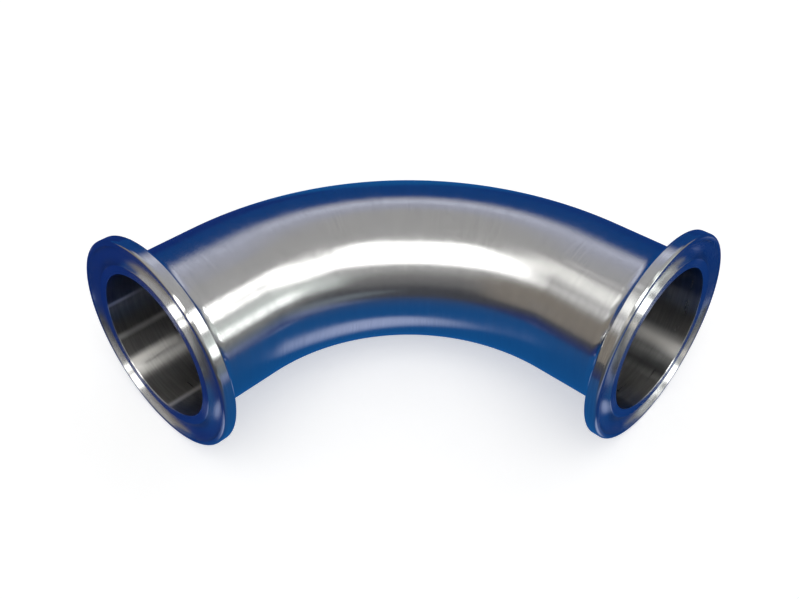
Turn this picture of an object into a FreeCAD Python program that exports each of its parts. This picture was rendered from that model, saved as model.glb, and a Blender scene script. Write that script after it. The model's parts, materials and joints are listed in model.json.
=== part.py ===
import FreeCAD, Part
import math
import os

import Sketcher
from FreeCAD import Placement, Rotation, Vector

# A sanitary pipe bend: a thin-walled stainless tube bent through a right angle, with a turned clamp
# ferrule butt-welded to each end and the welds dressed flush inside and out.
# Frame: millimetres, +Z up, +X from the left port to the right one, both ports open towards -Y.
# The bend lies as it comes to rest, on the rims of its two flanges and on the back of the tube.

DIMENSIONS = [
    # name, value, what it measures
    ("tube_diameter", 38.1, "outside diameter of the tube"),
    ("tube_wall", 1.65, "wall of the tube and of the ferrule's neck"),
    ("bend_radius", 57.15, "radius of the tube's centreline"),
    ("bend_angle", 90.0, "degrees that the tube turns"),
    ("ferrule_length", 21.5, "from the weld to the sealing face"),
    ("flange_height", 6.2, "how far the flange's rim stands out from the tube"),
    ("rim_width", 2.87, "thickness of the flange at its rim"),
    ("cone_angle", 20.0, "degrees that the clamp cone leans back from the flange's plane"),
    ("neck_hollow", 2.4, "radius of the hollow between the clamp cone and the neck"),
    ("groove_inset", 3.5, "from the rim in to the middle of the gasket groove"),
    ("groove_radius", 2.35, "radius of the gasket groove's section"),
    ("groove_depth", 1.6, "depth of the gasket groove"),
    ("rim_bevel", 0.4, "bevel that breaks the rim's two edges"),
    ("mouth_bevel", 0.2, "bevel that breaks the bore's edge in the sealing face"),
]

# Radii that follow from the sheet's sizes, as the sketches read them.
tube_outside = "Sizes.tube_diameter / 2"
tube_inside = "Sizes.tube_diameter / 2 - Sizes.tube_wall"
flange_rim = "Sizes.tube_diameter / 2 + Sizes.flange_height"
groove_middle = "Sizes.tube_diameter / 2 + Sizes.flange_height - Sizes.groove_inset"


def make_sizes(doc):
    sheet = doc.addObject("Spreadsheet::Sheet", "Sizes")
    for row, (name, value, meaning) in enumerate(DIMENSIONS, start=1):
        sheet.set(f"A{row}", name)
        sheet.set(f"B{row}", str(value))
        sheet.set(f"C{row}", meaning)
        sheet.setAlias(f"B{row}", name)
    doc.recompute()
    return sheet


def origin_plane(body, role):
    return next(feature for feature in body.Origin.OriginFeatures if feature.Role == role)


def add_sketch(body, name, role):
    sketch = body.newObject("Sketcher::SketchObject", name)
    sketch.AttachmentSupport = [(origin_plane(body, role), "")]
    sketch.MapMode = "FlatFace"
    return sketch


# A named constraint of a sketch, bound to the sheet.
def drive(sketch, name, expression, *constraint):
    index = sketch.addConstraint(Sketcher.Constraint(*constraint))
    sketch.renameConstraint(index, name)
    sketch.setExpression(f"Constraints.{name}", expression)


# The tube: a ring swept along the bend's centreline. In the body's own frame the arc is centred on the
# origin, in the XY plane, with its top at +Y.
def make_bend_tube(doc, size):
    body = doc.addObject("PartDesign::Body", "bend_tube")
    body.Label = "bend_tube"
    radius = size("bend_radius")
    half = math.radians(size("bend_angle") / 2)

    path = add_sketch(body, "centreline", "XY_Plane")
    circle = Part.Circle(Vector(), Vector(0, 0, 1), radius)
    path.addGeometry(Part.ArcOfCircle(circle, math.pi / 2 - half, math.pi / 2 + half))
    path.addConstraint(Sketcher.Constraint("Coincident", 0, 3, -1, 1))
    path.addConstraint(Sketcher.Constraint("Symmetric", 0, 1, 0, 2, -2))
    drive(path, "radius", "Sizes.bend_radius", "Radius", 0, radius)
    drive(path, "turn", "Sizes.bend_angle", "Angle", 0, 2 * half)
    doc.recompute()

    section = body.newObject("Sketcher::SketchObject", "tube_section")
    section.AttachmentSupport = [(path, "Vertex1"), (path, "Edge1")]
    section.MapMode = "NormalToEdge"
    outside = size("tube_diameter") / 2
    inside = outside - size("tube_wall")
    for index, (name, half_width, expression) in enumerate([
        ("outside", outside, tube_outside),
        ("inside", inside, tube_inside),
    ]):
        section.addGeometry(Part.Circle(Vector(), Vector(0, 0, 1), half_width))
        section.addConstraint(Sketcher.Constraint("Coincident", index, 3, -1, 1))
        drive(section, name, expression, "Radius", index, half_width)

    bend = body.newObject("PartDesign::AdditivePipe", "bent_tube")
    bend.Profile = section
    bend.Spine = (path, ["Edge1"])
    body.Tip = bend
    doc.recompute()
    return body


# Bevels the circular edge of one radius at one height about the body's Z axis.
def bevel_ring(body, name, radius, height, expression):
    base = body.Tip
    edges = [
        f"Edge{number}"
        for number, edge in enumerate(base.Shape.Edges, start=1)
        if isinstance(edge.Curve, Part.Circle)
        and abs(edge.Curve.Radius - radius) < 1e-4
        and abs(edge.Curve.Center.z - height) < 1e-4
    ]
    bevel = body.newObject("PartDesign::Chamfer", name)
    bevel.Base = (base, edges)
    bevel.setExpression("Size", expression)
    body.Tip = bevel
    body.Document.recompute()


# A ferrule, turned about Z: the weld end at z = 0 and the sealing face at z = ferrule_length.
def make_ferrule(doc, size, name):
    body = doc.addObject("PartDesign::Body", name)
    body.Label = name
    neck = size("tube_diameter") / 2
    bore = neck - size("tube_wall")
    rim = neck + size("flange_height")
    face = size("ferrule_length")
    shoulder = face - size("rim_width")
    cone_angle = math.radians(size("cone_angle"))
    hollow = size("neck_hollow")
    bevel = size("rim_bevel")

    # The outline runs round the wall: weld end, neck, hollow, clamp cone, back bevel, rim, face and bore.
    # The rim's width is measured to the corner that the back bevel cuts off.
    outline = add_sketch(body, name + "_outline", "XZ_Plane")
    cone_rise = (rim - neck - hollow) * math.tan(cone_angle)
    centre = Vector(neck + hollow, shoulder - cone_rise - hollow / math.cos(cone_angle), 0)
    cone_foot = centre + Vector(-math.sin(cone_angle), math.cos(cone_angle), 0) * hollow
    cone_end = Vector(rim - bevel, shoulder - bevel * math.tan(cone_angle), 0)
    corners = {
        "weld": (Vector(bore, 0, 0), Vector(neck, 0, 0)),
        "neck": (Vector(neck, 0, 0), Vector(neck, centre.y, 0)),
        "cone": (cone_foot, cone_end),
        "back_bevel": (cone_end, Vector(rim, shoulder + bevel, 0)),
        "rim": (Vector(rim, shoulder + bevel, 0), Vector(rim, face, 0)),
        "face": (Vector(rim, face, 0), Vector(bore, face, 0)),
        "bore": (Vector(bore, face, 0), Vector(bore, 0, 0)),
    }
    line = {key: outline.addGeometry(Part.LineSegment(*ends)) for key, ends in corners.items()}
    circle = Part.Circle(centre, Vector(0, 0, 1), hollow)
    arc = outline.addGeometry(Part.ArcOfCircle(circle, math.pi / 2 + cone_angle, math.pi))
    outline.addConstraint([
        Sketcher.Constraint("Coincident", line["weld"], 2, line["neck"], 1),
        Sketcher.Constraint("Tangent", line["neck"], 2, arc, 2),
        Sketcher.Constraint("Tangent", arc, 1, line["cone"], 1),
        Sketcher.Constraint("Coincident", line["cone"], 2, line["back_bevel"], 1),
        Sketcher.Constraint("Coincident", line["back_bevel"], 2, line["rim"], 1),
        Sketcher.Constraint("Coincident", line["rim"], 2, line["face"], 1),
        Sketcher.Constraint("Coincident", line["face"], 2, line["bore"], 1),
        Sketcher.Constraint("Coincident", line["bore"], 2, line["weld"], 1),
        Sketcher.Constraint("Horizontal", line["weld"]),
        Sketcher.Constraint("Horizontal", line["face"]),
        Sketcher.Constraint("Vertical", line["neck"]),
        Sketcher.Constraint("Vertical", line["rim"]),
        Sketcher.Constraint("Vertical", line["bore"]),
        Sketcher.Constraint("PointOnObject", line["weld"], 1, -1),
    ])
    drive(outline, "bore_radius", tube_inside, "DistanceX", -1, 1, line["weld"], 1, bore)
    drive(outline, "neck_radius", tube_outside, "DistanceX", -1, 1, line["weld"], 2, neck)
    drive(outline, "rim_radius", flange_rim, "DistanceX", -1, 1, line["rim"], 1, rim)
    drive(outline, "length", "Sizes.ferrule_length", "DistanceY", line["bore"], 2, line["bore"], 1, face)
    rim_land = "Sizes.rim_width - Sizes.rim_bevel"
    bevel_rise = "Sizes.rim_bevel * (1 + tan(Sizes.cone_angle * 1deg))"
    back_bevel = (line["back_bevel"], 1, line["back_bevel"], 2)
    drive(outline, "rim_land", rim_land, "Distance", line["rim"], face - shoulder - bevel)
    drive(outline, "bevel_width", "Sizes.rim_bevel", "DistanceX", *back_bevel, bevel)
    drive(outline, "bevel_rise", bevel_rise, "DistanceY", *back_bevel, bevel * (1 + math.tan(cone_angle)))
    drive(outline, "cone_angle", "Sizes.cone_angle", "Angle", line["cone"], cone_angle)
    drive(outline, "hollow_radius", "Sizes.neck_hollow", "Radius", arc, hollow)
    turned = body.newObject("PartDesign::Revolution", name + "_blank")
    turned.Profile = outline
    turned.ReferenceAxis = (outline, ["V_Axis"])
    turned.Angle = 360
    body.Tip = turned
    doc.recompute()

    # The groove's section is a circle whose centre stands proud of the face.
    section = add_sketch(body, name + "_groove_section", "XZ_Plane")
    middle = rim - size("groove_inset")
    radius = size("groove_radius")
    height = face + radius - size("groove_depth")
    section.addGeometry(Part.Circle(Vector(middle, height, 0), Vector(0, 0, 1), radius))
    groove_height = "Sizes.ferrule_length + Sizes.groove_radius - Sizes.groove_depth"
    drive(section, "radius", "Sizes.groove_radius", "Radius", 0, radius)
    drive(section, "middle", groove_middle, "DistanceX", -1, 1, 0, 3, middle)
    drive(section, "height", groove_height, "DistanceY", -1, 1, 0, 3, height)
    groove = body.newObject("PartDesign::Groove", name + "_gasket_groove")
    groove.Profile = section
    groove.ReferenceAxis = (section, ["V_Axis"])
    groove.Angle = 360
    body.Tip = groove
    doc.recompute()

    bevel_ring(body, name + "_front_bevel", rim, face, "Sizes.rim_bevel")
    bevel_ring(body, name + "_mouth_bevel", bore, face, "Sizes.mouth_bevel")
    return body


# How far the bend leans back at rest, in degrees. Its flanges are larger than the tube, so the back
# edges of the two rims carry it at the front and the back of the tube comes down to the same floor.
# With s the sine of the lean, that is where
#     rim * sqrt(1 - (s * sin(half))**2) = tube + lever * s
# and squaring both sides leaves a quadratic in s.
def resting_lean(size):
    half = math.radians(size("bend_angle") / 2)
    tube = size("tube_diameter") / 2
    rim = tube + size("flange_height")
    back_edge = size("ferrule_length") - size("rim_width") + size("rim_bevel")
    lever = size("bend_radius") * (1 - math.cos(half)) + back_edge * math.sin(half)
    square = lever**2 + (rim * math.sin(half)) ** 2
    sine = (math.sqrt((lever * tube) ** 2 + square * (rim**2 - tube**2)) - lever * tube) / square
    return math.degrees(math.asin(sine))


# Each ferrule's weld end meets the tube's end, and all three lean back together.
def lay_down(tube, ferrules, size):
    lean = Placement(Vector(), Rotation(Vector(1, 0, 0), -resting_lean(size)))
    half = math.radians(size("bend_angle") / 2)
    radius = size("bend_radius")
    tube.Placement = lean
    for side, ferrule in ferrules.items():
        outward = Vector(side * math.cos(half), -math.sin(half), 0)
        weld = Vector(side * radius * math.sin(half), radius * math.cos(half), 0)
        ferrule.Placement = lean * Placement(weld, Rotation(Vector(0, 0, 1), outward))
    # The origin is under the middle of the whole bend, on the floor.
    pieces = [tube, *ferrules.values()]
    whole = Part.makeCompound([piece.Shape for piece in pieces]).optimalBoundingBox()
    to_origin = Vector(-whole.Center.x, -whole.Center.y, -whole.ZMin)
    for piece in pieces:
        piece.Placement = Placement(to_origin, Rotation()) * piece.Placement
    piece.Document.recompute()


def check(doc, pieces):
    for thing in doc.Objects:
        if "Invalid" in thing.State or "Error" in thing.State:
            raise RuntimeError(f"{thing.Name} failed: {thing.State}")
    for piece in pieces:
        if piece.Shape.isNull() or not piece.Shape.isValid() or len(piece.Shape.Solids) != 1:
            raise RuntimeError(f"{piece.Label} is not one sound solid")


doc = FreeCAD.newDocument("pipe_bend")
sizes = make_sizes(doc)
bend_tube = make_bend_tube(doc, sizes.get)
left_and_right = {
    -1: make_ferrule(doc, sizes.get, "ferrule_left"),
    1: make_ferrule(doc, sizes.get, "ferrule_right"),
}
lay_down(bend_tube, left_and_right, sizes.get)
nodes = [bend_tube, *left_and_right.values()]
check(doc, nodes)

os.makedirs("parts", exist_ok=True)
for node in nodes:
    node.Shape.exportStep(f"parts/{node.Label}.step")
    box = node.Shape.optimalBoundingBox()
    print(f"{node.Label}: {node.Shape.Volume:.1f} mm3, {box.XLength:.2f} x {box.YLength:.2f} x {box.ZLength:.2f} mm")
print(f"leans back {resting_lean(sizes.get):.2f} degrees")
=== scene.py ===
import json
from math import acos, atan2, cos, hypot, pi, radians, sin, sqrt, tan

import bmesh
import bpy
from mathutils import Matrix, Vector


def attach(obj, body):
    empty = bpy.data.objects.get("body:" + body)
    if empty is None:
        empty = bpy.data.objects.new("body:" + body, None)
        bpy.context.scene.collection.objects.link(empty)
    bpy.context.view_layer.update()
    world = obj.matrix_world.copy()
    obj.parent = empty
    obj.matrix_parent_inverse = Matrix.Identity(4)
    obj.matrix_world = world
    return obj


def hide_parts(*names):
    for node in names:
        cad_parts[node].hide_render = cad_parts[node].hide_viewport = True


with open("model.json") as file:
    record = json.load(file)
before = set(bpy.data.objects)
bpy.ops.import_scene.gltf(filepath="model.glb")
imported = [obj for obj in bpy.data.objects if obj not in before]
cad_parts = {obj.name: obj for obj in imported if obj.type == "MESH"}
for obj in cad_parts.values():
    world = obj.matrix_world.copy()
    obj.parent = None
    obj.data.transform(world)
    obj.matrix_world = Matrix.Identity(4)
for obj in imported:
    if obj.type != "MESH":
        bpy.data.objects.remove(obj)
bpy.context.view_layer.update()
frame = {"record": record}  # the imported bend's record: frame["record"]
scene = bpy.context.scene
mm = 0.001
hair = 0.01 * mm  # two places closer than this are the same
mounts = {mount["name"]: mount for mount in frame["record"]["mounts"]}


# Working in edit mode

def deselectAll():
    bpy.ops.object.select_all(action="DESELECT")


def onlyActive(piece):
    deselectAll()
    piece.select_set(True)
    bpy.context.view_layer.objects.active = piece


def startPiece(name):
    piece = bpy.context.object
    piece.name = piece.data.name = name
    bpy.ops.object.transform_apply(location=True, rotation=True, scale=True)
    bpy.ops.object.mode_set(mode="EDIT")
    return piece


def pick(piece, kind, test):
    # selects the vertices or edges that pass the test, and nothing else
    bpy.ops.mesh.select_mode(type=kind)
    bpy.ops.mesh.select_all(action="DESELECT")
    mesh = bmesh.from_edit_mesh(piece.data)
    for item in mesh.verts if kind == "VERT" else mesh.edges:
        if test(item):
            item.select_set(True)
    mesh.select_flush_mode()
    bmesh.update_edit_mesh(piece.data)


def near(a, b):
    return abs(a - b) < hair


def roundCorner(piece, x, z, tangent, segments):
    # rounds one corner of a section that lies in the XZ plane
    pick(piece, "VERT", lambda v: near(v.co.x, x) and near(v.co.z, z))
    bpy.ops.mesh.bevel(offset=tangent, offset_type="OFFSET", segments=segments, affect="VERTICES")


def finishMesh(piece, smoothAngle):
    bpy.ops.mesh.select_all(action="SELECT")
    bpy.ops.mesh.remove_doubles(threshold=hair / 20)
    bpy.ops.mesh.normals_make_consistent(inside=False)
    bpy.ops.object.mode_set(mode="OBJECT")
    onlyActive(piece)
    bpy.ops.object.shade_smooth_by_angle(angle=smoothAngle)


def evenShading(piece):
    # flats stay flat beside their small rounded edges
    modifier = piece.modifiers.new("evenShading", "WEIGHTED_NORMAL")
    modifier.keep_sharp = True
    onlyActive(piece)
    bpy.ops.object.modifier_apply(modifier=modifier.name)


def layDown(piece, matrix):
    # moves a piece to where it rests, with its place kept in its mesh
    piece.matrix_world = matrix
    onlyActive(piece)
    bpy.ops.object.transform_apply(location=True, rotation=True, scale=True)


def mapBrushing(piece, along, around):
    # UV map with U across the brushing marks and V along them, so that the sheen knows their direction
    layer = piece.data.uv_layers.new(name="brushing")
    for face in piece.data.polygons:
        turns = [around(vertex) for vertex in face.vertices]
        for loop, turn in zip(face.loop_indices, turns):
            if max(turns) - turn > 0.5:  # a face over the seam, where the turn starts again
                turn += 1
            layer.data[loop].uv = (along(piece.data.loops[loop].vertex_index), turn)


def keepLinePlace(piece, places):
    # each point's place on the pipe's own line: the run along it, and the two ways across it
    own = piece.data.attributes.new("linePlace", "FLOAT_VECTOR", "POINT")
    for item, place in zip(own.data, places):
        item.vector = place


# The bend's lines, read from the mounts at its two ports

bend = {}


def readBend():
    for side in ("left", "right"):
        bore = mounts[side + "_bore"]
        axis = Vector(bore["axis"]).normalized()
        weld = Vector(bore["pos_m"]) - axis * bore["dims"]["length_mm"] * mm / 2
        face = Vector(mounts[side + "_sealing_face"]["pos_m"])
        bend[side] = {"axis": axis, "weld": weld, "length": (face - weld).dot(axis)}
    bend["bore"] = mounts["left_bore"]["dims"]["r_mm"] * mm
    bend["rim"] = mounts["left_flange_rim"]["dims"]["r_mm"] * mm
    left, right = bend["left"], bend["right"]
    chord = right["weld"] - left["weld"]
    bend["turn"] = acos(-left["axis"].dot(right["axis"]))
    bend["radius"] = chord.length / 2 / sin(bend["turn"] / 2)
    across = chord.normalized()
    top = -(left["axis"] + right["axis"]).normalized()
    middle = (left["weld"] + right["weld"]) / 2
    centre = middle - top * bend["radius"] * cos(bend["turn"] / 2)
    turned = Matrix((across, top, across.cross(top))).transposed().to_4x4()
    bend["place"] = Matrix.Translation(centre) @ turned


readBend()
print("bend read: radius %.2f mm, turn %.1f degrees" % (bend["radius"] / mm, bend["turn"] * 180 / pi))


# The finishes of each piece, in the order of its material slots

tubeFinishes = ("brushedSteel", "boreSteel")
ferruleFinishes = ("polishedSteel", "brushedSteel", "boreSteel", "turnedSteel")


# The tube: two circles spun through the bend, its outer ring drawn in at each end to close the wall

tubeSizes = {
    "wall": 1.65 * mm,
    "aroundSteps": 224,
    "bendSteps": 156,
    "endStep": radians(0.08),  # a short step at each weld keeps the sheen running on into the ferrule
    "smoothAngle": radians(40),
}


def makeTube():
    bore = bend["bore"]
    outside = bore + tubeSizes["wall"]
    middle = bore + tubeSizes["wall"] / 2
    start = pi / 2 + bend["turn"] / 2
    circle = {
        "vertices": tubeSizes["aroundSteps"],
        "fill_type": "NOTHING",
        "rotation": (pi / 2, 0, start),
        "location": (bend["radius"] * cos(start), bend["radius"] * sin(start), 0),
    }
    deselectAll()
    bpy.ops.mesh.primitive_circle_add(radius=outside, **circle)
    tube = startPiece("bentTube")
    bpy.ops.mesh.primitive_circle_add(radius=bore, **circle)
    bpy.ops.mesh.select_all(action="SELECT")
    endStep = tubeSizes["endStep"]
    for steps, angle in ((1, endStep), (tubeSizes["bendSteps"], bend["turn"] - 2 * endStep), (1, endStep)):
        bpy.ops.mesh.spin(steps=steps, angle=angle, center=(0, 0, 0), axis=(0, 0, 1))
    share = bore / outside
    for direction in (-1, 1):
        end = pi / 2 + direction * bend["turn"] / 2
        port = Vector((cos(end), sin(end), 0)) * bend["radius"]
        pick(tube, "EDGE", lambda e: e.is_boundary and all(
            near((v.co - port).length, outside) for v in e.verts
        ))
        bpy.ops.mesh.extrude_region()
        bpy.ops.transform.resize(value=(share, share, share), center_override=port)
    finishMesh(tube, tubeSizes["smoothAngle"])
    places = []
    for vertex in tube.data.vertices:
        run = bend["radius"] * atan2(vertex.co.x, vertex.co.y)
        places.append(Vector((run, hypot(vertex.co.x, vertex.co.y) - bend["radius"], vertex.co.z)))
    keepLinePlace(tube, places)
    mapBrushing(tube, lambda v: places[v].x, lambda v: atan2(places[v].z, places[v].y) / (2 * pi))
    for face in tube.data.polygons:
        inside = all(hypot(places[v].y, places[v].z) < middle for v in face.vertices)
        face.material_index = tubeFinishes.index("boreSteel" if inside else "brushedSteel")
    layDown(tube, bend["place"])
    return tube


# A ferrule: its section drawn from a plane, then spun round its axis

ferruleSizes = {
    "wall": 1.65 * mm,
    "rimWidth": 2.87 * mm,
    "coneAngle": radians(20),
    "neckHollow": 2.4 * mm,
    "grooveInset": 3.5 * mm,
    "grooveRadius": 2.35 * mm,
    "grooveDepth": 1.6 * mm,
    "grooveSteps": 20,
    "grooveLip": 0.14 * mm,
    "backEdge": 0.5 * mm,
    "frontEdge": 0.7 * mm,
    "mouthEdge": 0.25 * mm,
    "cornerSteps": {"hollow": 12, "back": 6, "front": 10, "mouth": 4, "lip": 3},
    "spinSteps": 256,
    "smoothAngle": radians(40),
}


def drawSection(ferrule, side):
    sizes = ferruleSizes
    face = bend[side]["length"]
    bore, rim = bend["bore"], bend["rim"]
    neck = bore + sizes["wall"]
    shoulder = face - sizes["rimWidth"]
    coneFoot = shoulder - (rim - neck) * tan(sizes["coneAngle"])
    cornerShare = tan((pi / 2 - sizes["coneAngle"]) / 2)  # tangent length of a corner at the cone, per radius

    # the wall is cut across at the foot of the cone and drawn out into the flange
    bpy.ops.mesh.select_all(action="SELECT")
    bpy.ops.mesh.bisect(plane_co=(0, 0, coneFoot), plane_no=(0, 0, 1))
    pick(ferrule, "EDGE", lambda e: all(near(v.co.x, neck) and v.co.z > coneFoot - hair for v in e.verts))
    bpy.ops.mesh.extrude_region_move(TRANSFORM_OT_translate={"value": (rim - neck, 0, 0)})
    pick(ferrule, "VERT", lambda v: near(v.co.x, rim) and near(v.co.z, coneFoot))
    bpy.ops.transform.translate(value=(0, 0, shoulder - coneFoot))

    # the gasket groove: its two edges cut in, the line between them divided and let down onto its arc
    middle = rim - sizes["grooveInset"]
    centreHeight = face + sizes["grooveRadius"] - sizes["grooveDepth"]
    half = sqrt(sizes["grooveRadius"] ** 2 - (centreHeight - face) ** 2)
    for x in (middle - half, middle + half):
        bpy.ops.mesh.select_all(action="SELECT")
        bpy.ops.mesh.bisect(plane_co=(x, 0, 0), plane_no=(1, 0, 0))
    bpy.ops.mesh.select_all(action="SELECT")
    bpy.ops.mesh.dissolve_faces(use_verts=False)
    pick(ferrule, "EDGE", lambda e: all(
        near(v.co.z, face) and abs(v.co.x - middle) < half + hair for v in e.verts
    ))
    bpy.ops.mesh.subdivide(number_cuts=sizes["grooveSteps"] - 1)
    mesh = bmesh.from_edit_mesh(ferrule.data)
    for vertex in mesh.verts:
        off = (vertex.co.x - middle) / half
        if near(vertex.co.z, face) and abs(off) < 0.999:  # the groove's two lips stay in the face
            turn = off * acos((centreHeight - face) / sizes["grooveRadius"])
            vertex.co.x = middle + sizes["grooveRadius"] * sin(turn)
            vertex.co.z = centreHeight - sizes["grooveRadius"] * cos(turn)
    bmesh.update_edit_mesh(ferrule.data)

    # corners: the hollow under the cone, the rim, the bore's mouth and the groove's lips
    steps = sizes["cornerSteps"]
    roundCorner(ferrule, neck, coneFoot, sizes["neckHollow"] * cornerShare, steps["hollow"])
    roundCorner(ferrule, rim, shoulder, sizes["backEdge"] * cornerShare, steps["back"])
    roundCorner(ferrule, rim, face, sizes["frontEdge"], steps["front"])
    roundCorner(ferrule, bore, face, sizes["mouthEdge"], steps["mouth"])
    for x in (middle - half, middle + half):
        roundCorner(ferrule, x, face, sizes["grooveLip"], steps["lip"])
    return neck, coneFoot - sizes["neckHollow"] * cornerShare


def measureOutline(ferrule, neck):
    # each point's distance along the section's outline, from the weld's outer corner round to the bore
    bpy.ops.mesh.select_all(action="SELECT")
    bpy.ops.mesh.delete(type="ONLY_FACE")
    mesh = bmesh.from_edit_mesh(ferrule.data)
    outline = mesh.verts.layers.float.new("outline")
    point = min(mesh.verts, key=lambda v: hypot(v.co.x - neck, v.co.z))
    last = min(mesh.verts, key=lambda v: hypot(v.co.x - bend["bore"], v.co.z))
    seen = {point, last}
    run = 0
    while point is not last:
        point[outline] = run
        following = [e.other_vert(point) for e in point.link_edges if e.other_vert(point) not in seen]
        nextPoint = following[0] if following else last
        run += (nextPoint.co - point.co).length
        seen.add(nextPoint)
        point = nextPoint
    last[outline] = run
    bmesh.update_edit_mesh(ferrule.data)


def makeFerrule(side):
    face = bend[side]["length"]
    bore = bend["bore"]
    wall = ferruleSizes["wall"]
    deselectAll()
    bpy.ops.mesh.primitive_plane_add(size=1, location=(bore + wall / 2, 0, face / 2), rotation=(pi / 2, 0, 0))
    bpy.context.object.scale = (wall, face, 1)
    ferrule = startPiece(side + "Ferrule")
    neck, neckEnd = drawSection(ferrule, side)
    measureOutline(ferrule, neck)
    bpy.ops.mesh.select_all(action="SELECT")
    bpy.ops.mesh.spin(steps=ferruleSizes["spinSteps"], angle=2 * pi, center=(0, 0, 0), axis=(0, 0, 1))
    finishMesh(ferrule, ferruleSizes["smoothAngle"])
    evenShading(ferrule)
    points = [vertex.co.copy() for vertex in ferrule.data.vertices]
    runs = [item.value for item in ferrule.data.attributes["outline"].data]
    ferrule.data.attributes.remove(ferrule.data.attributes["outline"])
    mapBrushing(ferrule, lambda v: runs[v], lambda v: atan2(points[v].y, points[v].x) / (2 * pi))
    faceFloor = face - ferruleSizes["grooveDepth"] - hair
    faceRadius = bend["rim"] - ferruleSizes["frontEdge"] + hair
    for polygon in ferrule.data.polygons:
        radius = max(hypot(points[v].x, points[v].y) for v in polygon.vertices)
        height = max(points[v].z for v in polygon.vertices)
        finish = "polishedSteel"
        if radius < bore + hair:
            finish = "boreSteel"
        elif height < neckEnd + hair:
            finish = "brushedSteel"
        elif radius < faceRadius and height > faceFloor:
            finish = "turnedSteel"
        polygon.material_index = ferruleFinishes.index(finish)
    turned = bend[side]["axis"].to_track_quat("Z", "Y").to_matrix().to_4x4()
    layDown(ferrule, Matrix.Translation(bend[side]["weld"]) @ turned)

    # the run and the two ways across go on from the tube's own
    toLine = bend["place"].inverted()
    axis = toLine.to_3x3() @ bend[side]["axis"]
    weld = toLine @ bend[side]["weld"]
    outward = weld.normalized()
    ahead = 1 if axis.x > 0 else -1
    places = []
    for vertex in ferrule.data.vertices:
        offset = toLine @ vertex.co - weld
        run = bend["radius"] * bend["turn"] / 2 + offset.dot(axis)
        places.append(Vector((ahead * run, offset.dot(outward), offset.z)))
    keepLinePlace(ferrule, places)
    return ferrule


tube = makeTube()
print("tube: %d faces" % len(tube.data.polygons))
ferrules = {side: makeFerrule(side) for side in ("left", "right")}
print("ferrules: %d faces each" % len(ferrules["left"].data.polygons))


# Finishes

def addNode(tree, kind, place, **values):
    node = tree.nodes.new(kind)
    node.location = place
    for name, value in values.items():
        setattr(node, name, value)
    return node


def maths(tree, place, operation, first, second=None, third=None):
    # a Math node on sockets or plain numbers
    node = addNode(tree, "ShaderNodeMath", place, operation=operation)
    for socket, value in zip(node.inputs, (first, second, third)):
        if isinstance(value, (int, float)):
            socket.default_value = value
        elif value is not None:
            tree.links.new(value, socket)
    return node.outputs["Value"]


def spread(tree, place, value, span, result, kind="LINEAR"):
    # a Map Range node from one span of values to another
    node = addNode(tree, "ShaderNodeMapRange", place, interpolation_type=kind)
    for name, number in zip(("From Min", "From Max", "To Min", "To Max"), (*span, *result)):
        if isinstance(number, (int, float)):
            node.inputs[name].default_value = number
        else:
            tree.links.new(number, node.inputs[name])
    tree.links.new(value, node.inputs["Value"])
    return node.outputs["Result"]


def blend(tree, place, factor, first, second):
    # a colour mix of sockets or plain colours
    node = addNode(tree, "ShaderNodeMix", place, data_type="RGBA")
    sockets = {socket.identifier: socket for socket in node.inputs}
    for name, value in (("Factor_Float", factor), ("A_Color", first), ("B_Color", second)):
        if isinstance(value, tuple):
            sockets[name].default_value = (*value, 1)
        elif isinstance(value, (int, float)):
            sockets[name].default_value = value
        else:
            tree.links.new(value, sockets[name])
    return [socket for socket in node.outputs if socket.identifier == "Result_Color"][0]


def newGroup(name, inputs, outputs):
    group = bpy.data.node_groups.new(name, "ShaderNodeTree")
    for label, kind, value in inputs:
        socket = group.interface.new_socket(name=label, in_out="INPUT", socket_type=kind)
        if value is not None:
            socket.default_value = value
    for label, kind in outputs:
        group.interface.new_socket(name=label, in_out="OUTPUT", socket_type=kind)
    start = addNode(group, "NodeGroupInput", (-900, 0))
    end = addNode(group, "NodeGroupOutput", (900, 0))
    return group, start, end


def linePlace(group):
    # the run along the pipe's line, and the ways across it: out from the bend's centre, and up
    own = addNode(group, "ShaderNodeAttribute", (-900, 300), attribute_name="linePlace")
    split = addNode(group, "ShaderNodeSeparateXYZ", (-700, 300))
    group.links.new(own.outputs["Vector"], split.inputs["Vector"])
    return split.outputs


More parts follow.
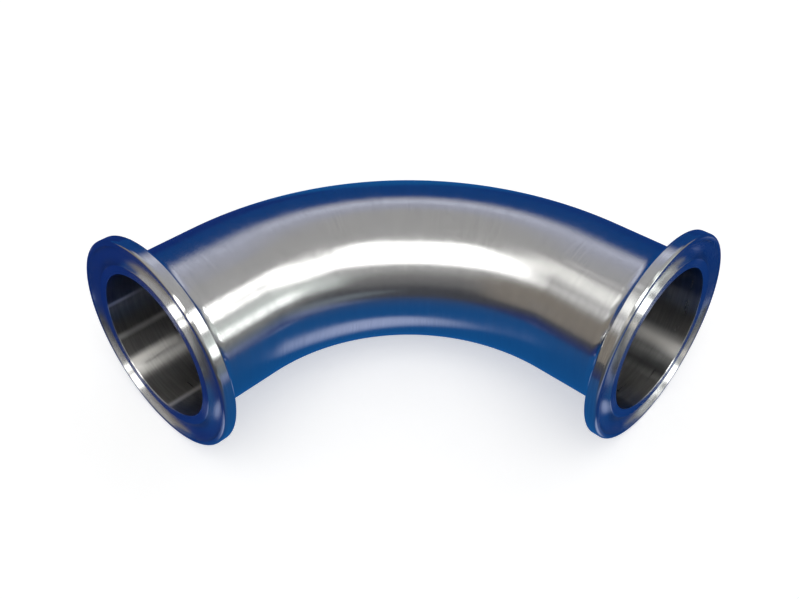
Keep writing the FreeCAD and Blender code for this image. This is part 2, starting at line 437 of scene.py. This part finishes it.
def makeBrushingGroup():
    # Marks of the brushing wheel round the pipe: fine lines, broader passes, and a slow haze.
    # The run counts in full and the way round only a little, so that the marks are long round the pipe.
    # On a flat face the radius takes the place of the run.
    radiusShare = 1.7
    group, start, end = newGroup(
        "brushing",
        [
            ("Line Size", "NodeSocketFloat", 0.3),  # mm
            ("Pass Size", "NodeSocketFloat", 2.0),
            ("Haze Size", "NodeSocketFloat", 12.0),
            ("Line Length", "NodeSocketFloat", 30.0),  # length of a mark for its width
        ],
        [("Lines", "NodeSocketFloat"), ("Passes", "NodeSocketFloat"), ("Haze", "NodeSocketFloat")],
    )
    line = linePlace(group)
    across = maths(group, (-500, 150), "MULTIPLY", line["Y"], line["Y"])
    square = maths(group, (-350, 150), "MULTIPLY_ADD", line["Z"], line["Z"], across)
    radius = maths(group, (-200, 150), "SQRT", square)
    run = maths(group, (-50, 250), "MULTIPLY_ADD", radius, radiusShare, line["X"])
    kinds = (
        # size, result, detail, drawn out round the pipe
        ("Line Size", "Lines", 3.0, True),
        ("Pass Size", "Passes", 2.0, True),
        ("Haze Size", "Haze", 3.0, False),
    )
    for row, (label, output, detail, drawnOut) in enumerate(kinds):
        y = 100 - 300 * row
        scale = maths(group, (50, y), "DIVIDE", 1 / mm, start.outputs[label])
        roundScale = scale
        if drawnOut:
            roundScale = maths(group, (200, y - 100), "DIVIDE", scale, start.outputs["Line Length"])
        joined = addNode(group, "ShaderNodeCombineXYZ", (500, y))
        ways = (("X", run, scale), ("Y", line["Y"], roundScale), ("Z", line["Z"], roundScale))
        for axis, value, factor in ways:
            group.links.new(maths(group, (350, y), "MULTIPLY", value, factor), joined.inputs[axis])
        noise = addNode(group, "ShaderNodeTexNoise", (650, y), noise_dimensions="3D")
        noise.inputs["Scale"].default_value = 1.0
        noise.inputs["Detail"].default_value = detail
        group.links.new(joined.outputs["Vector"], noise.inputs["Vector"])
        group.links.new(noise.outputs["Fac"], end.inputs[output])
    return group


def makePaintedBandGroup():
    # A mask for a painted streak of light or painted shade along the bore, by its place round it: full at the
    # mouth, gone deep inside
    group, start, end = newGroup(
        "paintedBoreBand",
        [
            ("Side", "NodeSocketFloat", 1.0),
            ("Direction", "NodeSocketFloat", 0.0),
            ("Half Width", "NodeSocketFloat", 5.0),
            ("Reach", "NodeSocketFloat", 30.0),  # mm in from the face
            ("Mouth", "NodeSocketFloat", 66.0),  # the face's own run, in mm
        ],
        [("Mask", "NodeSocketFloat")],
    )
    line = linePlace(group)
    turn = maths(group, (-500, 300), "ARCTAN2", line["Z"], line["Y"])
    degrees = maths(group, (-350, 300), "MULTIPLY", turn, 180 / pi)
    off = maths(group, (-200, 300), "SUBTRACT", degrees, start.outputs["Direction"])
    apart = maths(group, (100, 300), "ABSOLUTE", maths(group, (-50, 300), "WRAP", off, 180, -180))
    beside = spread(group, (300, 300), apart, (0.0, start.outputs["Half Width"]), (1.0, 0.0), "SMOOTHSTEP")
    run = maths(group, (-500, 0), "MULTIPLY", line["X"], start.outputs["Side"])
    inMillimetres = maths(group, (-350, 0), "DIVIDE", run, mm)
    deep = maths(group, (-350, -200), "SUBTRACT", start.outputs["Mouth"], start.outputs["Reach"])
    outer = spread(group, (-50, 0), inMillimetres, (deep, start.outputs["Mouth"]), (0.0, 1.0), "SMOOTHSTEP")
    group.links.new(maths(group, (600, 100), "MULTIPLY", beside, outer), end.inputs["Mask"])
    return group


def makeSteel(name, look, brushing, paintedBandGroup):
    steel = bpy.data.materials.new(name)
    steel.use_nodes = True
    tree = steel.node_tree
    shader = tree.nodes["Principled BSDF"]
    shader.location = (900, 0)
    tree.nodes["Material Output"].location = (1200, 0)
    shader.inputs["Metallic"].default_value = 1.0
    shader.inputs["Anisotropic"].default_value = look["anisotropy"]
    marks = addNode(tree, "ShaderNodeGroup", (-650, 0), node_tree=brushing)
    for label in ("Line Size", "Pass Size", "Haze Size", "Line Length"):
        marks.inputs[label].default_value = look[label]
    tangent = addNode(tree, "ShaderNodeTangent", (500, -400), direction_type="UV_MAP", uv_map="brushing")
    tree.links.new(tangent.outputs["Tangent"], shader.inputs["Tangent"])

    # colour: a little darker in the marks, and cloudier in the haze
    noiseSpan = (0.35, 0.65)
    lineShade = spread(tree, (-350, 300), marks.outputs["Lines"], noiseSpan, (0.0, 1.0))
    colour = blend(tree, (-100, 300), lineShade, look["dark"], look["light"])
    hazeShade = spread(tree, (-350, 50), marks.outputs["Haze"], noiseSpan, (0.0, look["hazeAmount"]))
    colour = blend(tree, (150, 250), hazeShade, colour, look["haze"])

    # roughness: each pass of the wheel cut a little differently
    passRough = spread(tree, (-350, -200), marks.outputs["Passes"], noiseSpan, look["rough"])
    rough = maths(tree, (-50, -250), "MULTIPLY_ADD", lineShade, look["lineRough"], passRough)

    # painted light and shade along the bore: pale streaks painted in place of reflections of light, and a dark
    # band of painted shade, each in its own colour, and some of them duller
    for row, (shadeName, *place, amount, dullness) in enumerate(look.get("paintedBands", ())):
        left = 350 + 180 * row
        # each band's mask says where its painted light or painted shade goes
        paintedStreak = addNode(tree, "ShaderNodeGroup", (left - 200, 600), node_tree=paintedBandGroup)
        for label, value in zip(("Side", "Direction", "Half Width", "Reach"), place):
            paintedStreak.inputs[label].default_value = value
        share = maths(tree, (left - 100, 450), "MULTIPLY", paintedStreak.outputs["Mask"], amount)
        colour = blend(tree, (left, 300), share, colour, look[shadeName])
        if dullness:
            more = maths(tree, (left, 700), "MULTIPLY_ADD", share, dullness, 1.0)
            rough = maths(tree, (left + 100, 700), "MULTIPLY", more, rough)
    tree.links.new(colour, shader.inputs["Base Color"])
    tree.links.new(rough, shader.inputs["Roughness"])

    # relief: the marks themselves, over the broader waves of the passes
    passes, lines = marks.outputs["Passes"], marks.outputs["Lines"]
    relief = maths(tree, (-50, -500), "MULTIPLY_ADD", passes, look["passRelief"], lines)
    bump = addNode(tree, "ShaderNodeBump", (500, -150))
    bump.inputs["Strength"].default_value = look["bumpStrength"]
    bump.inputs["Distance"].default_value = look["bumpDistance"]
    tree.links.new(relief, bump.inputs["Height"])
    tree.links.new(bump.outputs["Normal"], shader.inputs["Normal"])
    return steel


brushedLook = {
    "Line Size": 0.24, "Pass Size": 2.0, "Haze Size": 14.0, "Line Length": 30.0,
    "light": (0.615, 0.61, 0.60), "dark": (0.565, 0.56, 0.555),
    "haze": (0.59, 0.59, 0.595), "hazeAmount": 0.4,
    "rough": (0.20, 0.24), "lineRough": -0.02, "anisotropy": 0.7,
    "passRelief": 0.6, "bumpStrength": 0.11, "bumpDistance": 0.004 * mm,
}
turnedLook = {
    "Line Size": 0.22, "Pass Size": 1.1, "Haze Size": 9.0, "Line Length": 40.0,
    "light": (0.66, 0.66, 0.655), "dark": (0.60, 0.60, 0.595),
    "haze": (0.62, 0.62, 0.62), "hazeAmount": 0.3,
    "rough": (0.23, 0.25), "lineRough": 0.01, "anisotropy": 1.0,
    "passRelief": 0.4, "bumpStrength": 0.06, "bumpDistance": 0.003 * mm,
}
polishedLook = {
    "Line Size": 0.22, "Pass Size": 1.1, "Haze Size": 9.0, "Line Length": 40.0,
    "light": (0.66, 0.66, 0.655), "dark": (0.58, 0.58, 0.575),
    "haze": (0.62, 0.62, 0.62), "hazeAmount": 0.3,
    "rough": (0.12, 0.15), "lineRough": 0.01, "anisotropy": 0.8,
    "passRelief": 0.4, "bumpStrength": 0.12, "bumpDistance": 0.003 * mm,
}
boreLook = {
    "Line Size": 0.45, "Pass Size": 2.0, "Haze Size": 10.0, "Line Length": 16.0,
    "light": (0.36, 0.35, 0.34), "dark": (0.27, 0.26, 0.25),
    "haze": (0.30, 0.295, 0.285), "hazeAmount": 0.4,
    "rough": (0.27, 0.33), "lineRough": 0.03, "anisotropy": 1.0,
    "passRelief": 0.6, "bumpStrength": 0.2, "bumpDistance": 0.004 * mm,
    # painted shade, then the colour of the painted light streaks: bands of these stand in for reflections in the
    # bore
    "shade": (0.07, 0.07, 0.07),
    "paintedStreak": (0.98, 0.96, 0.93),
    "paintedBands": [
        # painted light or shade: colour, side (left -1, right 1), degrees round the bore, half width in degrees,
        # reach in from the mouth (mm), amount, how much duller
        ("shade", 1, -59, 20, 60, 1.0, 0.0),
        ("paintedStreak", -1, -53, 8, 45, 0.38, 0.0),
        ("paintedStreak", -1, -45, 6, 15, 1.0, 1.6),
        ("paintedStreak", -1, -48, 7, 4, 0.9, 0.4),
        ("paintedStreak", -1, -24, 4, 40, 1.0, 0.0),
        ("paintedStreak", -1, -94, 4, 18, 1.0, 1.2),
        ("paintedStreak", -1, 5, 3, 13, 0.8, 0.5),
        ("paintedStreak", 1, -40, 11, 60, 1.0, 1.1),
        ("paintedStreak", 1, -43, 9, 6, 1.0, 0.3),
    ],
}


def dressPieces():
    groups = makeBrushingGroup(), makePaintedBandGroup()
    steels = {
        "brushedSteel": makeSteel("brushedSteel", brushedLook, *groups),
        "polishedSteel": makeSteel("polishedSteel", polishedLook, *groups),
        "turnedSteel": makeSteel("turnedSteel", turnedLook, *groups),
        "boreSteel": makeSteel("boreSteel", boreLook, *groups),
    }
    for finish in tubeFinishes:
        tube.data.materials.append(steels[finish])
    for ferrule in ferrules.values():
        for finish in ferruleFinishes:
            ferrule.data.materials.append(steels[finish])


dressPieces()
print("finishes made")


# What each piece stands for

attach(tube, "root")
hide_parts("bend_tube")
for side, ferrule in ferrules.items():
    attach(ferrule, "root")
    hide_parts("ferrule_" + side)


# The camera stands at the photograph's angle

cameraLook = {
    "azimuth": radians(-2.3365),
    "elevation": radians(50.0213),
    "roll": radians(1.0781),
    "distance": 202.53 * mm,
    "target": (-1.48 * mm, 1.64 * mm, 19.05 * mm),
    "lens": 38.43,
}


def cameraPlace():
    flat = cos(cameraLook["elevation"])
    azimuth = cameraLook["azimuth"]
    back = Vector((sin(azimuth) * flat, -cos(azimuth) * flat, sin(cameraLook["elevation"])))
    return Vector(cameraLook["target"]) + back * cameraLook["distance"]


# The studio: a white floor under soft lamps, and round it a room that only the steel sees.
# Its directions are degrees from the camera's side, to the right positive, and degrees of height.

floorLook = {"size": 6.0, "white": (0.80, 0.80, 0.80), "glow": 0.50}
worldLook = {"onPiece": 0.45, "seen": 1.0}  # strength of the light it gives, and of its own white
roomLook = {
    "radius": 2.5,
    "ceiling": (0.50, 0.50, 0.50),
    "patches": [
        # name, direction, half width, low, high, soft, colour
        ("lowWall", 0, 181, -90, 26, 9, (0.30, 0.30, 0.30)),
        ("frontWallTop", -5, 62, -90, 21, 9, (0.22, 0.22, 0.225)),
        ("frontWallFoot", -5, 62, -90, 8, 7, (0.085, 0.088, 0.10)),
        ("warmWall", -74, 34, -9, 30, 5, (0.30, 0.27, 0.235)),
        ("paleWindow", 66, 28, 13, 29, 4, (0.86, 0.93, 0.90)),
        ("brightWindow", 70, 7, 9, 19, 2, (2.6, 2.7, 2.65)),
        ("backPale", 180, 40, 20, 56, 6, (0.48, 0.50, 0.62)),
        ("backStreak", 180, 30, 40, 47, 3, (0.76, 0.80, 0.95)),
        ("backBlue", 180, 70, -90, 34, 4, (0.0105, 0.066, 0.27)),
    ],
}
lampCards = {
    # Lamps for the named pieces alone. With a port, a lamp's direction is the turn round that port's face
    # at which its mirror image shows.
    "tubeLamps": {
        "radius": 2.42, "pieces": ("tube",),
        "patches": [
            ("frontBand", -2, 58, 40, 69, 2.5, (2.9, 2.9, 2.85)),
            ("leftBand", -63, 9, 39, 57, 7, (2.4, 2.4, 2.35)),
            ("rightBand", 63, 11, 32, 52, 3, (2.4, 2.4, 2.35)),
        ],
    },
    "rightLamps": {
        "radius": 2.38, "pieces": ("tube", "left"),
        "patches": [
            ("between", 82, 18, 32, 48, 3, (0.5, 0.5, 0.5)),
            ("nearLamp", 88, 10, 40.5, 50, 1.5, (3.6, 3.6, 3.5)),
            ("farLamp", 80, 5, 32.5, 39, 1.5, (3.6, 3.6, 3.5)),
        ],
    },
    "leftLamps": {
        "radius": 2.34, "pieces": ("tube", "right"),
        "patches": [
            ("lowerGlow", -74, 12, 34, 48, 4, (0.2, 0.2, 0.2)),
            ("lowerBand", -74, 12, 34, 39, 2, (0.45, 0.45, 0.44)),
            ("upperBand", -89, 28, 48, 60, 3, (1.05, 1.05, 1.0)),
        ],
    },
    "leftPortLamps": {
        "radius": 2.30, "pieces": ("left",), "port": "left",
        "patches": [
            ("widePane", 124.7, 4.2, 4, 80, 0.4, (2.8, 2.8, 2.7)),
            ("narrowPane", 133.1, 1.9, 4, 80, 0.4, (2.6, 2.6, 2.5)),
        ],
    },
    "rightPortLamps": {
        "radius": 2.26, "pieces": ("right",), "port": "right",
        "patches": [
            ("widePane", 124.6, 5.1, 4, 80, 0.8, (2.8, 2.85, 2.8)),
            ("softPane", 112, 2.5, 4, 80, 1, (0.8, 0.83, 0.8)),
            ("warmPane", 137.5, 2, 4, 80, 1.5, (0.4, 0.36, 0.30)),
        ],
    },
    "rightRimLamps": {
        "radius": 2.22, "pieces": ("right",),
        "patches": [
            ("nearGlow", -127, 5, 60, 64, 1.5, (0.7, 0.7, 0.7)),
            ("farGlow", -78, 3, 39, 42, 1.5, (0.5, 0.5, 0.5)),
        ],
    },
}
tableLook = {
    "size": 5.88,
    "lift": 0.2 * mm,
    "cloth": (0.010, 0.105, 0.35),
    "clothLeft": (0.010, 0.036, 0.205),
    "clothRight": (0.009, 0.048, 0.23),
    "sides": (36 * mm, 64 * mm),
    "dim": (0.085, 0.088, 0.10),  # past the cloth's edge
    "dimRight": (0.25, 0.29, 0.32),
    "edge": (15 * mm, 180 * mm),
    "dimSides": (50 * mm, 170 * mm),
    "glintColour": (0.45, 0.54, 0.85),  # light that the pipe throws back on the cloth
    "glints": [
        # across, towards the camera, half length, half depth, amount
        (-4 * mm, 15 * mm, 15 * mm, 9 * mm, 1.0),
        (-57 * mm, 40 * mm, 9 * mm, 9 * mm, 0.8),
        (50 * mm, 39 * mm, 9 * mm, 9 * mm, 0.8),
        (-121 * mm, -30 * mm, 8 * mm, 5 * mm, 0.6),
        (130 * mm, -20 * mm, 10 * mm, 6 * mm, 0.6),
        (105 * mm, 95 * mm, 90 * mm, 42 * mm, 0.5),
    ],
}
lamps = [
    # name, place, width, depth, radiance
    ("overheadLamp", (0.0, -0.5, 1.2), 1.6, 1.0, 1.1),
    ("fillLamp", (0.9, 0.8, 1.1), 0.8, 0.8, 0.5),
]


def glowMaterial(name):
    material = bpy.data.materials.new(name)
    material.use_nodes = True
    tree = material.node_tree
    tree.nodes.clear()
    glow = addNode(tree, "ShaderNodeEmission", (900, 0))
    out = addNode(tree, "ShaderNodeOutputMaterial", (1400, 0))
    tree.links.new(glow.outputs["Emission"], out.inputs["Surface"])
    return material, tree, glow, out


def onlyForSteel(card):
    card.visible_camera = False
    card.visible_diffuse = False
    card.visible_shadow = False
    card.visible_volume_scatter = False


def seenDirectly(tree, place):
    # 1 for camera, glossy and transmission rays, 0 for the rest
    path = addNode(tree, "ShaderNodeLightPath", place)
    x, y = place
    both = maths(tree, (x + 200, y), "ADD", path.outputs["Is Camera Ray"], path.outputs["Is Glossy Ray"])
    every = maths(tree, (x + 350, y), "ADD", both, path.outputs["Is Transmission Ray"])
    return maths(tree, (x + 500, y), "MINIMUM", every, 1.0)


def addShaders(tree, glow, second, out):
    both = addNode(tree, "ShaderNodeAddShader", (1150, 0))
    tree.links.new(glow.outputs["Emission"], both.inputs[0])
    tree.links.new(second.outputs["BSDF"], both.inputs[1])
    tree.links.new(both.outputs["Shader"], out.inputs["Surface"])


def makeFloor():
    bpy.ops.mesh.primitive_plane_add(size=floorLook["size"], location=(0, 0, 0))
    floor = bpy.context.object
    floor.name = "floor"
    material, tree, glow, out = glowMaterial("paleFloor")
    matt = addNode(tree, "ShaderNodeBsdfDiffuse", (900, -200))
    matt.inputs["Color"].default_value = (*floorLook["white"], 1)
    strength = maths(tree, (700, 100), "MULTIPLY", seenDirectly(tree, (0, 100)), floorLook["glow"])
    tree.links.new(strength, glow.inputs["Strength"])
    addShaders(tree, glow, matt, out)
    floor.data.materials.append(material)


def makeWorld():
    world = bpy.data.worlds.new("studio")
    world.use_nodes = True
    scene.world = world
    tree = world.node_tree
    background = tree.nodes["Background"]
    background.inputs["Color"].default_value = (1, 1, 1, 1)
    seen = seenDirectly(tree, (-900, 0))
    strength = spread(tree, (-200, 0), seen, (0, 1), (worldLook["onPiece"], worldLook["seen"]))
    tree.links.new(strength, background.inputs["Strength"])


def makePatchGroup():
    # A soft-edged patch of the room, by direction
    group, start, end = newGroup(
        "roomPatch",
        [
            ("Place", "NodeSocketVector", None),
            ("Direction", "NodeSocketFloat", 0.0),
            ("Half Width", "NodeSocketFloat", 30.0),
            ("Low", "NodeSocketFloat", 0.0),
            ("High", "NodeSocketFloat", 30.0),
            ("Soft", "NodeSocketFloat", 3.0),
        ],
        [("Mask", "NodeSocketFloat")],
    )
    outward = addNode(group, "ShaderNodeVectorMath", (-700, 200), operation="NORMALIZE")
    split = addNode(group, "ShaderNodeSeparateXYZ", (-550, 200))
    group.links.new(start.outputs["Place"], outward.inputs[0])
    group.links.new(outward.outputs["Vector"], split.inputs["Vector"])
    toCamera = maths(group, (-400, 100), "MULTIPLY", split.outputs["Y"], -1)
    turn = maths(group, (-250, 200), "ARCTAN2", split.outputs["X"], toCamera)
    degrees = maths(group, (-100, 200), "MULTIPLY", turn, 180 / pi)
    off = maths(group, (0, 200), "SUBTRACT", degrees, start.outputs["Direction"])
    wrapped = maths(group, (100, 200), "WRAP", off, 180, -180)
    apart = maths(group, (200, 200), "ABSOLUTE", wrapped)
    beside = maths(group, (300, 200), "SUBTRACT", start.outputs["Half Width"], apart)
    rise = maths(group, (-250, -100), "ARCSINE", split.outputs["Z"])
    height = maths(group, (-100, -100), "MULTIPLY", rise, 180 / pi)
    above = maths(group, (100, -50), "SUBTRACT", height, start.outputs["Low"])
    below = maths(group, (100, -200), "SUBTRACT", start.outputs["High"], height)
    within = maths(group, (300, -100), "MINIMUM", above, below)
    edge = maths(group, (450, 50), "MULTIPLY", start.outputs["Soft"], -1)
    masks = []
    for row, value in ((150, beside), (-50, within)):
        node = addNode(group, "ShaderNodeMapRange", (550, row), interpolation_type="SMOOTHSTEP")
        group.links.new(value, node.inputs["Value"])
        group.links.new(edge, node.inputs["From Min"])
        group.links.new(start.outputs["Soft"], node.inputs["From Max"])
        masks.append(node.outputs["Result"])
    group.links.new(maths(group, (750, 50), "MULTIPLY", *masks), end.inputs["Mask"])
    return group


def makePortGroup():
    # Turns a lamp's place into one whose direction is the turn round a port at which its mirror image shows.
    # Where the half way to the camera doesn't look out of the port by outLeast, the height falls to nothing.
    outLeast = 0.35
    group, start, end = newGroup(
        "portPlace",
        [
            ("Place", "NodeSocketVector", None),
            ("To Camera", "NodeSocketVector", None),
            ("Away", "NodeSocketVector", None),
            ("Up", "NodeSocketVector", None),
            ("Out", "NodeSocketVector", None),
        ],
        [("Place", "NodeSocketVector")],
    )
    outward = addNode(group, "ShaderNodeVectorMath", (-700, 200), operation="NORMALIZE")
    group.links.new(start.outputs["Place"], outward.inputs[0])
    half = addNode(group, "ShaderNodeVectorMath", (-550, 200), operation="ADD")
    group.links.new(outward.outputs["Vector"], half.inputs[0])
    group.links.new(start.outputs["To Camera"], half.inputs[1])
    parts = []
    for row, label in ((300, "Away"), (100, "Up"), (-300, "Out")):
        along = addNode(group, "ShaderNodeVectorMath", (-400, row), operation="DOT_PRODUCT")
        group.links.new(half.outputs["Vector"], along.inputs[0])
        group.links.new(start.outputs[label], along.inputs[1])
        parts.append(along.outputs["Value"])
    turn = maths(group, (-250, 200), "ARCTAN2", parts[1], parts[0])
    split = addNode(group, "ShaderNodeSeparateXYZ", (-400, -150))
    group.links.new(outward.outputs["Vector"], split.inputs["Vector"])
    level = maths(group, (-250, -150), "COSINE", maths(group, (-320, -150), "ARCSINE", split.outputs["Z"]))
    sideways = maths(group, (-50, 200), "MULTIPLY", maths(group, (-150, 250), "SINE", turn), level)
    ahead = maths(group, (-50, 50), "MULTIPLY", maths(group, (-150, 50), "COSINE", turn), level)
    joined = addNode(group, "ShaderNodeCombineXYZ", (250, 100))
    group.links.new(sideways, joined.inputs["X"])
    group.links.new(maths(group, (100, 50), "MULTIPLY", ahead, -1), joined.inputs["Y"])
    inFront = maths(group, (-100, -300), "GREATER_THAN", parts[2], outLeast)
    group.links.new(maths(group, (50, -200), "MULTIPLY", split.outputs["Z"], inFront), joined.inputs["Z"])
    group.links.new(joined.outputs["Vector"], end.inputs["Place"])
    return group


def turnToPort(tree, port, seen):
    turned = addNode(tree, "ShaderNodeGroup", (-1050, 0), node_tree=makePortGroup())
    face = port["weld"] + port["axis"] * port["length"]
    turned.inputs["To Camera"].default_value = (cameraPlace() - face).normalized()
    turned.inputs["Away"].default_value = (port["weld"] - bend["place"].translation).normalized()
    turned.inputs["Up"].default_value = bend["place"].col[2].to_3d()
    turned.inputs["Out"].default_value = port["axis"]
    tree.links.new(seen, turned.inputs["Place"])
    return turned.outputs["Place"]


def makeRoundCard(name, look, patchGroup):
    # a sphere of soft patches; one made for some pieces only adds its lamps, for those alone
    bpy.ops.mesh.primitive_uv_sphere_add(segments=48, ring_count=24, radius=look["radius"])
    card = bpy.context.object
    card.name = name
    material, tree, glow, out = glowMaterial(name + "Glow")
    place = addNode(tree, "ShaderNodeTexCoord", (-1200, 0))
    seen = place.outputs["Object"]
    if "port" in look:
        seen = turnToPort(tree, bend[look["port"]], seen)
    colour = look.get("ceiling", (0.0, 0.0, 0.0))
    for row, (label, *spans, patchColour) in enumerate(look["patches"]):
        left = -900 + 120 * row
        patch = addNode(tree, "ShaderNodeGroup", (left, -200 - 60 * row), node_tree=patchGroup, label=label)
        for socket, value in zip(("Direction", "Half Width", "Low", "High", "Soft"), spans):
            patch.inputs[socket].default_value = value
        tree.links.new(seen, patch.inputs["Place"])
        colour = blend(tree, (left + 100, 200), patch.outputs["Mask"], colour, patchColour)
    tree.links.new(colour, glow.inputs["Color"])
    if "pieces" in look:
        addShaders(tree, glow, addNode(tree, "ShaderNodeBsdfTransparent", (900, -200)), out)
        lit = bpy.data.collections.new(name + "Receivers")
        for piece in look["pieces"]:
            lit.objects.link(tube if piece == "tube" else ferrules[piece])
        card.light_linking.receiver_collection = lit
    card.data.materials.append(material)
    onlyForSteel(card)


def makeTableCard():
    # a blue cloth a hair above the floor, paler where the pipe throws light back on it
    look = tableLook
    bpy.ops.mesh.primitive_plane_add(size=look["size"], location=(0, 0, look["lift"]))
    card = bpy.context.object
    card.name = "tableCard"
    material, tree, glow, out = glowMaterial("blueTable")
    place = addNode(tree, "ShaderNodeTexCoord", (-900, 0))
    split = addNode(tree, "ShaderNodeSeparateXYZ", (-700, 0))
    tree.links.new(place.outputs["Object"], split.inputs["Vector"])
    toRight = split.outputs["X"]
    toLeft = maths(tree, (-550, -100), "MULTIPLY", toRight, -1)
    forward = maths(tree, (-550, 100), "MULTIPLY", split.outputs["Y"], -1)
    atLeft = spread(tree, (-350, -100), toLeft, look["sides"], (0.0, 1.0), "SMOOTHSTEP")
    atRight = spread(tree, (-350, -300), toRight, look["sides"], (0.0, 1.0), "SMOOTHSTEP")
    cloth = blend(tree, (-150, -100), atLeft, look["cloth"], look["clothLeft"])
    cloth = blend(tree, (0, -100), atRight, cloth, look["clothRight"])
    past = spread(tree, (-350, 100), forward, look["edge"], (0.0, 1.0), "SMOOTHSTEP")
    farRight = spread(tree, (-350, -500), toRight, look["dimSides"], (0.0, 1.0), "SMOOTHSTEP")
    dim = blend(tree, (0, 200), farRight, look["dim"], look["dimRight"])
    cloth = blend(tree, (150, -100), past, cloth, dim)
    for row, (across, ahead, halfLength, halfDepth, amount) in enumerate(look["glints"]):
        squares = []
        for y, value, middle, half in (
            (-500 - 250 * row, toRight, across, halfLength), (-600 - 250 * row, forward, ahead, halfDepth)
        ):
            off = maths(tree, (-150, y), "SUBTRACT", value, middle)
            share = maths(tree, (0, y), "DIVIDE", off, half)
            squares.append(maths(tree, (150, y), "POWER", share, 2))
        apart = maths(tree, (300, -550 - 250 * row), "ADD", *squares)
        share = spread(tree, (450, -550 - 250 * row), apart, (0.0, 1.0), (amount, 0.0), "SMOOTHSTEP")
        cloth = blend(tree, (600, -300 - 100 * row), share, cloth, look["glintColour"])
    tree.links.new(cloth, glow.inputs["Color"])
    card.data.materials.append(material)
    onlyForSteel(card)


def makeLamps():
    for name, place, width, depth, radiance in lamps:
        light = bpy.data.lights.new(name, "AREA")
        light.shape = "RECTANGLE"
        light.size = width
        light.size_y = depth
        light.energy = radiance * width * depth * pi
        lamp = bpy.data.objects.new(name, light)
        lamp.location = place
        lamp.rotation_euler = Vector(place).to_track_quat("Z", "Y").to_euler()
        lamp.visible_camera = False
        lamp.visible_glossy = False
        scene.collection.objects.link(lamp)


makeFloor()
makeWorld()
roomPatch = makePatchGroup()
makeRoundCard("roomCard", roomLook, roomPatch)
for name, look in lampCards.items():
    makeRoundCard(name, look, roomPatch)
makeTableCard()
makeLamps()
print("studio set")


def makeCamera():
    look = cameraLook
    camera = bpy.data.objects.new("camera", bpy.data.cameras.new("camera"))
    scene.collection.objects.link(camera)
    camera.data.lens = look["lens"]
    camera.data.clip_start = 0.01
    camera.location = cameraPlace()
    level = (camera.location - Vector(look["target"])).to_track_quat("Z", "Y")
    camera.rotation_euler = (level.to_matrix() @ Matrix.Rotation(look["roll"], 3, "Z")).to_euler()
    scene.camera = camera


makeCamera()
scene.view_settings.view_transform = "Standard"
